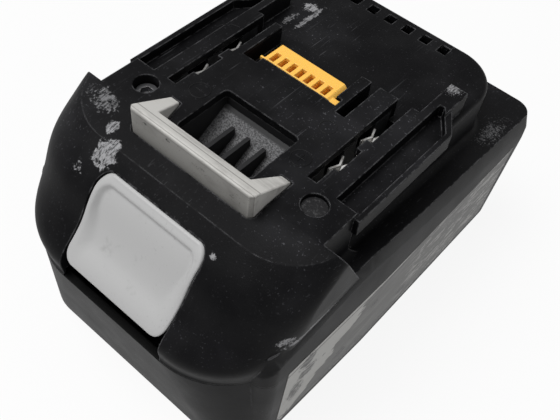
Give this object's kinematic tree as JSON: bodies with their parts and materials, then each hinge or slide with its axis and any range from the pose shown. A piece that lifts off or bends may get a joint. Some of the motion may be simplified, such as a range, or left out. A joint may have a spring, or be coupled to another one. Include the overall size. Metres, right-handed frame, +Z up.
{
  "type": "power tool battery pack",
  "caption": "Slide-on battery pack for a cordless tool, with a spring latch, a release button, terminal slots, a signal connector and cells inside.",
  "frame": {"origin": "centre of the bounding box at its lowest height, on the surface that the pack stands on", "axes": "+X to the right seen from the release button's end, +Y from the release button's end to the rear, +Z up, out of the deck that slides into the tool"},
  "size_m": [0.075, 0.117, 0.0674],
  "materials": {
    "case_plastic": "fine moulded texture, matte",
    "button_plastic": "smooth, semi-matte",
    "latch_plastic": "smooth, worn",
    "connector_plastic": "smooth, semi-matte",
    "terminal_metal": "nickel plated",
    "screw_steel": "dark plated",
    "plug_rubber": "knurled",
    "label_film": "printed film, left bare",
    "inner_plastic": "satin",
    "board_laminate": "lacquered",
    "chip_resin": "satin",
    "pad_foam": "soft foam",
    "link_nickel": "satin nickel",
    "lead_sleeve": "silicone sleeve",
    "cell_can": "sleeved can"
  },
  "bodies": {
    "pack": {"lower_case": "case_plastic", "upper_case": "case_plastic", "air_guide": "case_plastic", "signal_connector": "connector_plastic", "positive_terminal": "terminal_metal", "negative_terminal": "terminal_metal", "signal_contacts": "terminal_metal", "case_screws": "screw_steel", "latch_spring_left": "screw_steel", "latch_spring_right": "screw_steel", "screw_plug": "plug_rubber", "side_label_left": "label_film", "side_label_right": "label_film", "terminal_holder": "inner_plastic", "cell_holder_left": "inner_plastic", "cell_holder_right": "inner_plastic", "board_tray": "inner_plastic", "circuit_board": "board_laminate", "control_chip": "chip_resin", "power_transistor": "chip_resin", "thermistor": "chip_resin", "bottom_pad": "pad_foam", "side_pad_left": "pad_foam", "side_pad_right": "pad_foam", "right_front_link": "link_nickel", "right_rear_link": "link_nickel", "positive_end_link": "link_nickel", "left_front_link": "link_nickel", "left_rear_link": "link_nickel", "negative_end_link": "link_nickel", "positive_strap": "link_nickel", "negative_strap": "link_nickel", "right_front_lead": "lead_sleeve", "right_rear_lead": "lead_sleeve", "left_front_lead": "lead_sleeve", "left_rear_lead": "lead_sleeve", "lower_cell_1": "cell_can", "lower_cell_2": "cell_can", "lower_cell_3": "cell_can", "lower_cell_4": "cell_can", "lower_cell_5": "cell_can", "upper_cell_1": "cell_can", "upper_cell_2": "cell_can", "upper_cell_3": "cell_can", "upper_cell_4": "cell_can", "upper_cell_5": "cell_can"},
    "latch": {"release_button": "button_plastic", "latch_hook": "latch_plastic"}
  },
  "joints": [
    {"name": "latch_press", "type": "slide", "parent": "pack", "child": "latch", "axis": [0, 0, -1], "range_m": [0, 0.0054], "stiffness_N_per_m": 1200, "springref_m": -0.004, "deforming": ["latch_spring_left", "latch_spring_right"]}
  ]
}
